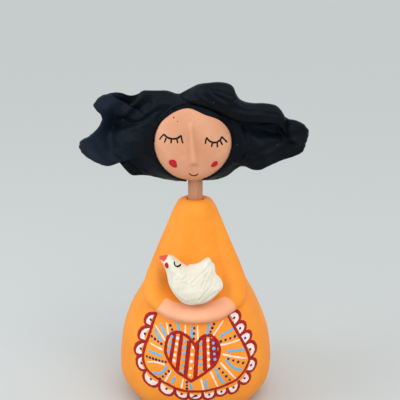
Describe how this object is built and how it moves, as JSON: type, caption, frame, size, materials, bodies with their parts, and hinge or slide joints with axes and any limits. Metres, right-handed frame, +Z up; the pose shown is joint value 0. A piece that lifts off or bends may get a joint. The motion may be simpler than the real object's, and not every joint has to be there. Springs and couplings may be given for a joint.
{
  "type": "papier-mache catrina figure",
  "caption": "Standing folk doll with a hollow pear-shaped papier-mache dress, a white bird held in its arms, and a wide-haired head on a wooden dowel that turns and lifts out.",
  "frame": {"origin": "middle of the flat base, on the surface that the figure stands on", "axes": "+Z up along the neck dowel, the figure faces -Y, +X to the viewer's right"},
  "size_m": [0.1542, 0.1066, 0.2206],
  "materials": {
    "orange_paint": "matte",
    "skin_paint": "matte",
    "face_paint": "satin",
    "hair_black": "satin",
    "bird_white": "matte",
    "painted_wood": "matte",
    "bare_wood": "matte",
    "cardboard": "matte",
    "plaster": "matte"
  },
  "bodies": {
    "dress": {"dress_shell": "orange_paint", "base_disc": "cardboard", "ballast": "plaster", "neck_tube": "cardboard", "tube_plug": "bare_wood", "tube_spreader": "cardboard", "sleeve_left": "orange_paint", "sleeve_right": "orange_paint", "forearms": "skin_paint", "bird_body": "bird_white", "bird_wing": "bird_white"},
    "neck": {"neck_dowel": "painted_wood"},
    "head": {"head_core": "face_paint", "nose": "face_paint", "hairline_roll": "hair_black", "hair_front_left": "hair_black", "hair_front_right": "hair_black", "hair_top_lock": "hair_black", "hair_back": "hair_black"}
  },
  "joints": [
    {"name": "neck_lift", "type": "slide", "parent": "dress", "child": "neck", "axis": [0, 0, 1], "range_m": [0, 0.044]},
    {"name": "head_turn", "type": "hinge", "parent": "neck", "child": "head", "pos_m": [0, 0, 0.17], "axis": [0, 0, 1], "continuous": true}
  ]
}
